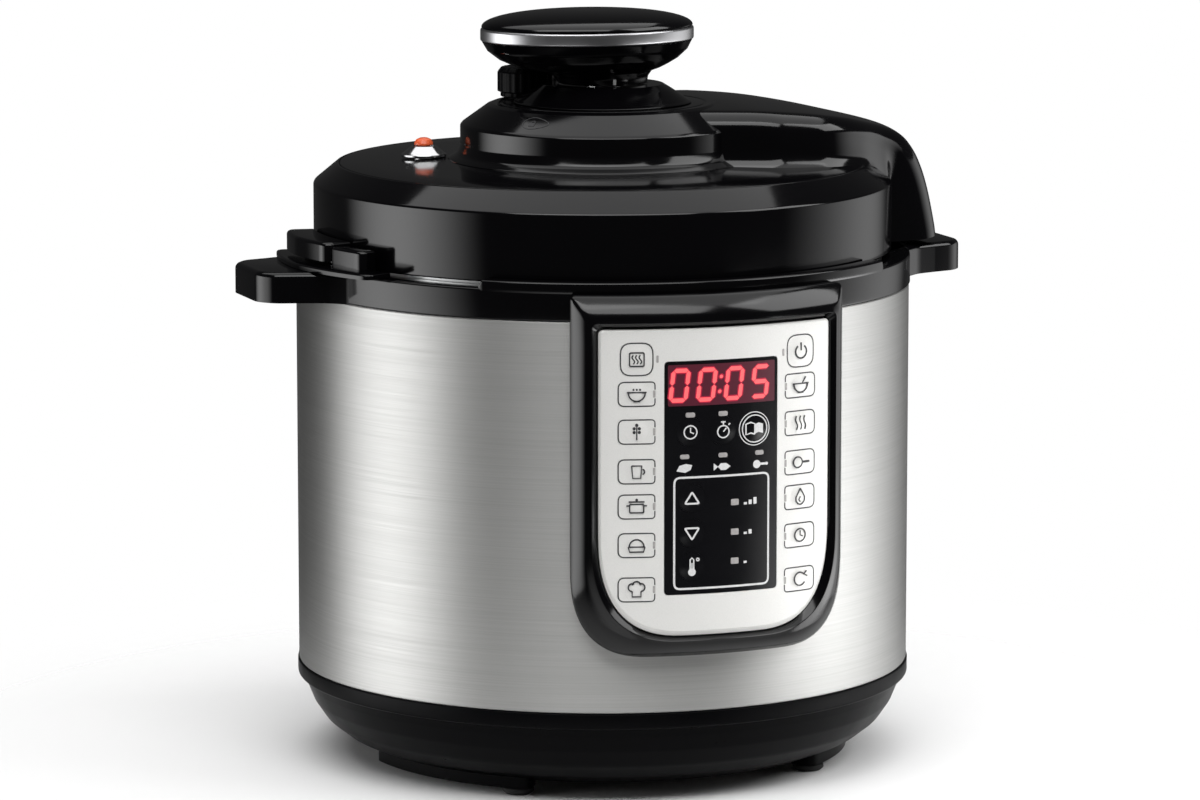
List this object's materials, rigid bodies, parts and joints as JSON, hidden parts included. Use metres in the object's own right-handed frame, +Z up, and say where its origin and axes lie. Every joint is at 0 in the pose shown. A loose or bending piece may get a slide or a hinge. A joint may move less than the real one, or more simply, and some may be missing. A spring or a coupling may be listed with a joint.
{
  "type": "electric pressure cooker",
  "caption": "Steel drum cooker on a black base with a keyed front panel, side handles, and a domed black lid on a hinged arm with a locking knob.",
  "frame": {"origin": "centre of the footprint at floor level, on the axis of the steel drum", "axes": "+Z up along the drum axis, -Y out of the control panel, +X towards the hinged side of the lid"},
  "size_m": [0.336, 0.3, 0.337],
  "materials": {
    "gloss_black": "high gloss moulded black plastic",
    "satin_black": "fine satin black plastic",
    "brushed_steel": "stainless steel brushed around the drum",
    "bare_steel": "plain pressed stainless steel",
    "chrome": "bright chrome plating",
    "silver_fascia": "metallic silver film on plastic",
    "key_cap": "metallic silver keys with printed outlines",
    "window_black": "smoked black window",
    "cast_aluminium": "cast aluminium",
    "pot_grey": "dark non-stick coating on aluminium",
    "rubber_black": "black rubber",
    "silicone": "translucent white silicone",
    "circuit_board": "green solder mask",
    "pin_red": "orange-red plastic"
  },
  "bodies": {
    "housing": {"base_shell": "satin_black", "bottom_cover": "satin_black", "foot_0": "rubber_black", "foot_1": "rubber_black", "foot_2": "rubber_black", "foot_3": "rubber_black", "body_sleeve": "brushed_steel", "upper_collar": "gloss_black", "panel_frame": "gloss_black", "fascia": "silver_fascia", "display_window": "window_black", "display_module": "satin_black", "control_board": "circuit_board", "power_inlet": "satin_black", "power_board": "circuit_board", "pressure_vessel": "bare_steel", "inner_pot": "pot_grey", "heating_plate": "cast_aluminium", "sensor_spring": "bare_steel", "pressure_switch": "satin_black", "hinge_bracket": "satin_black", "hinge_pin": "bare_steel", "catch_keeper": "gloss_black"},
    "lid": {"lid_cover": "gloss_black", "lid_top_panel": "gloss_black", "hinge_arm": "gloss_black", "lid_catch": "gloss_black", "pressure_lid": "bare_steel", "sealing_gasket": "silicone", "valve_shield": "bare_steel", "float_collar": "chrome", "knob_seat": "gloss_black"},
    "knob": {"knob_grip": "gloss_black", "knob_band": "chrome", "knob_cap": "gloss_black", "lock_spider": "bare_steel"},
    "float": {"float_pin": "pin_red"},
    "release_valve": {"release_valve": "satin_black"},
    "sensor": {"temperature_sensor": "bare_steel"},
    "key_left_0": {"key_left_0": "key_cap"},
    "key_left_1": {"key_left_1": "key_cap"},
    "key_left_2": {"key_left_2": "key_cap"},
    "key_left_3": {"key_left_3": "key_cap"},
    "key_left_4": {"key_left_4": "key_cap"},
    "key_left_5": {"key_left_5": "key_cap"},
    "key_left_6": {"key_left_6": "key_cap"},
    "key_right_0": {"key_right_0": "key_cap"},
    "key_right_1": {"key_right_1": "key_cap"},
    "key_right_2": {"key_right_2": "key_cap"},
    "key_right_3": {"key_right_3": "key_cap"},
    "key_right_4": {"key_right_4": "key_cap"},
    "key_right_5": {"key_right_5": "key_cap"},
    "key_right_6": {"key_right_6": "key_cap"},
    "key_delay": {"key_delay": "window_black"},
    "key_timer": {"key_timer": "window_black"},
    "key_menu": {"key_menu": "window_black"},
    "key_up": {"key_up": "window_black"},
    "key_down": {"key_down": "window_black"},
    "key_temperature": {"key_temperature": "window_black"}
  },
  "joints": [
    {"name": "lid_hinge", "type": "hinge", "parent": "housing", "child": "lid", "pos_m": [0.1515, 0, 0.236], "axis": [0, 1, 0], "range_deg": [0, 80]},
    {"name": "knob_turn", "type": "hinge", "parent": "lid", "child": "knob", "pos_m": [0, 0, 0.3], "axis": [0, 0, -1], "range_deg": [0, 25]},
    {"name": "float_slide", "type": "slide", "parent": "lid", "child": "float", "axis": [0, 0, 1], "range_m": [-0.005, 0]},
    {"name": "valve_turn", "type": "hinge", "parent": "lid", "child": "release_valve", "pos_m": [-0.024, 0.032, 0.3], "axis": [0, 0, 1], "range_deg": [0, 60]},
    {"name": "sensor_slide", "type": "slide", "parent": "housing", "child": "sensor", "axis": [0, 0, -1], "range_m": [0, 0.0025], "stiffness_N_per_m": 1500, "springref_m": -0.002, "deforming": ["sensor_spring"]},
    {"name": "key_left_0_press", "type": "slide", "parent": "housing", "child": "key_left_0", "axis": [0.2538, 0.9673, 0], "range_m": [0, 0.0005], "stiffness_N_per_m": 2000},
    {"name": "key_left_1_press", "type": "slide", "parent": "housing", "child": "key_left_1", "axis": [0.2538, 0.9673, 0], "range_m": [0, 0.0005], "stiffness_N_per_m": 2000},
    {"name": "key_left_2_press", "type": "slide", "parent": "housing", "child": "key_left_2", "axis": [0.2538, 0.9673, 0], "range_m": [0, 0.0005], "stiffness_N_per_m": 2000},
    {"name": "key_left_3_press", "type": "slide", "parent": "housing", "child": "key_left_3", "axis": [0.2538, 0.9673, 0], "range_m": [0, 0.0005], "stiffness_N_per_m": 2000},
    {"name": "key_left_4_press", "type": "slide", "parent": "housing", "child": "key_left_4", "axis": [0.2538, 0.9673, 0], "range_m": [0, 0.0005], "stiffness_N_per_m": 2000},
    {"name": "key_left_5_press", "type": "slide", "parent": "housing", "child": "key_left_5", "axis": [0.2538, 0.9673, 0], "range_m": [0, 0.0005], "stiffness_N_per_m": 2000},
    {"name": "key_left_6_press", "type": "slide", "parent": "housing", "child": "key_left_6", "axis": [0.2538, 0.9673, 0], "range_m": [0, 0.0005], "stiffness_N_per_m": 2000},
    {"name": "key_right_0_press", "type": "slide", "parent": "housing", "child": "key_right_0", "axis": [-0.2538, 0.9673, 0], "range_m": [0, 0.0005], "stiffness_N_per_m": 2000},
    {"name": "key_right_1_press", "type": "slide", "parent": "housing", "child": "key_right_1", "axis": [-0.2538, 0.9673, 0], "range_m": [0, 0.0005], "stiffness_N_per_m": 2000},
    {"name": "key_right_2_press", "type": "slide", "parent": "housing", "child": "key_right_2", "axis": [-0.2538, 0.9673, 0], "range_m": [0, 0.0005], "stiffness_N_per_m": 2000},
    {"name": "key_right_3_press", "type": "slide", "parent": "housing", "child": "key_right_3", "axis": [-0.2538, 0.9673, 0], "range_m": [0, 0.0005], "stiffness_N_per_m": 2000},
    {"name": "key_right_4_press", "type": "slide", "parent": "housing", "child": "key_right_4", "axis": [-0.2538, 0.9673, 0], "range_m": [0, 0.0005], "stiffness_N_per_m": 2000},
    {"name": "key_right_5_press", "type": "slide", "parent": "housing", "child": "key_right_5", "axis": [-0.2538, 0.9673, 0], "range_m": [0, 0.0005], "stiffness_N_per_m": 2000},
    {"name": "key_right_6_press", "type": "slide", "parent": "housing", "child": "key_right_6", "axis": [-0.2538, 0.9673, 0], "range_m": [0, 0.0005], "stiffness_N_per_m": 2000},
    {"name": "key_delay_press", "type": "slide", "parent": "housing", "child": "key_delay", "axis": [0.0993, 0.9951, 0], "range_m": [0, 0.0005], "stiffness_N_per_m": 2000},
    {"name": "key_timer_press", "type": "slide", "parent": "housing", "child": "key_timer", "axis": [0, 1, 0], "range_m": [0, 0.0005], "stiffness_N_per_m": 2000},
    {"name": "key_menu_press", "type": "slide", "parent": "housing", "child": "key_menu", "axis": [-0.0976, 0.9952, 0], "range_m": [0, 0.0005], "stiffness_N_per_m": 2000},
    {"name": "key_up_press", "type": "slide", "parent": "housing", "child": "key_up", "axis": [0.0941, 0.9956, 0], "range_m": [0, 0.0005], "stiffness_N_per_m": 2000},
    {"name": "key_down_press", "type": "slide", "parent": "housing", "child": "key_down", "axis": [0.0941, 0.9956, 0], "range_m": [0, 0.0005], "stiffness_N_per_m": 2000},
    {"name": "key_temperature_press", "type": "slide", "parent": "housing", "child": "key_temperature", "axis": [0.0941, 0.9956, 0], "range_m": [0, 0.0005], "stiffness_N_per_m": 2000}
  ]
}
